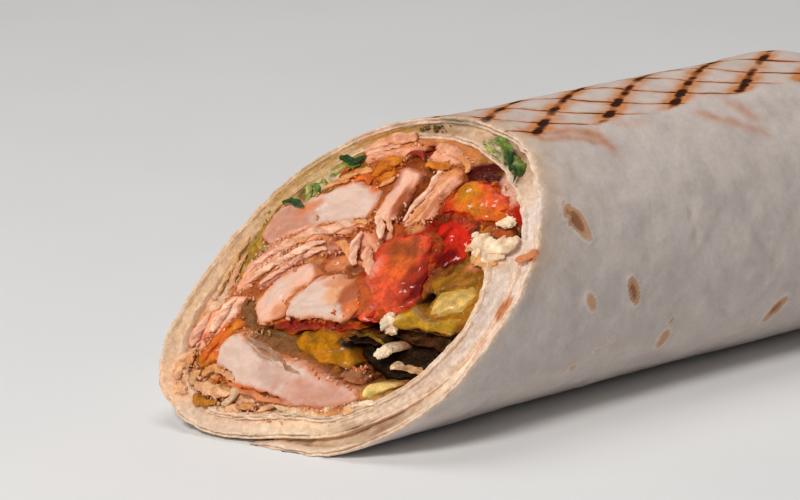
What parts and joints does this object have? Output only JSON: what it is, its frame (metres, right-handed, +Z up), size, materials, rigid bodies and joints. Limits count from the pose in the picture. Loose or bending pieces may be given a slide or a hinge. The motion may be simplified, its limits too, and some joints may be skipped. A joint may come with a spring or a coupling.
{
  "type": "meat shawarma wrap half",
  "caption": "Half of a rolled flatbread wrap, cut on the slant, with roast meat, tomato, pickles and lettuce showing at the cut and a tucked closed end.",
  "frame": {"origin": "middle of the flat underside that the wrap rests on, about half way along it", "axes": "+X runs along the roll from the slanted cut to the closed end, +Z is up, +Y points to the far side as the picture shows it"},
  "size_m": [0.1699, 0.0671, 0.0603],
  "materials": {
    "flatbread": "soft thin flatbread, pale and floury, with grill marks and brown blisters",
    "white_meat": "moist cut white meat with fine fibres and browned edges",
    "roast_meat": "moist roasted meat, orange-brown and fibrous",
    "dark_meat": "dark roasted meat, wet with sauce",
    "tomato": "wet cut tomato",
    "pepper": "wet yellow pepper",
    "pickle": "wet, slightly see-through pickled cucumber",
    "dark_pickle": "wet dark pickle slice",
    "lettuce": "crisp pale green leaf",
    "onion": "pale wet onion",
    "sauce": "thick creamy orange sauce"
  },
  "bodies": {
    "root": {"cream_bit": "sauce", "dark_slice_low": "dark_pickle", "dark_slice_middle": "dark_pickle", "dark_slice_top": "dark_pickle", "flatbread": "flatbread", "lettuce_curl": "lettuce", "lettuce_far": "lettuce", "lettuce_low": "lettuce", "lettuce_near": "lettuce", "meat_almond": "white_meat", "meat_arch": "roast_meat", "meat_block": "white_meat", "meat_brown_edge": "roast_meat", "meat_browned": "roast_meat", "meat_curl": "roast_meat", "meat_dark_core": "dark_meat", "meat_fold": "roast_meat", "meat_golden": "roast_meat", "meat_orange": "roast_meat", "meat_ribbon": "roast_meat", "meat_ring": "sauce", "meat_salmon": "roast_meat", "meat_scrap": "roast_meat", "meat_shred": "dark_meat", "meat_side_bit": "roast_meat", "meat_skin": "white_meat", "meat_slab": "white_meat", "meat_sliver": "roast_meat", "meat_strand": "white_meat", "meat_stub": "white_meat", "meat_top_strip": "roast_meat", "meat_wedge": "white_meat", "onion_bit": "onion", "onion_shred": "onion", "pepper_skin": "pepper", "pepper_tip": "pepper", "pepper_yellow": "pepper", "pickle_cap": "pickle", "pickle_lobe": "pickle", "pickle_rim": "pickle", "sauce_layer": "sauce", "sauced_strip": "dark_meat", "tomato_core": "tomato", "tomato_slice": "tomato", "tomato_wedge": "tomato"}
  },
  "joints": []
}
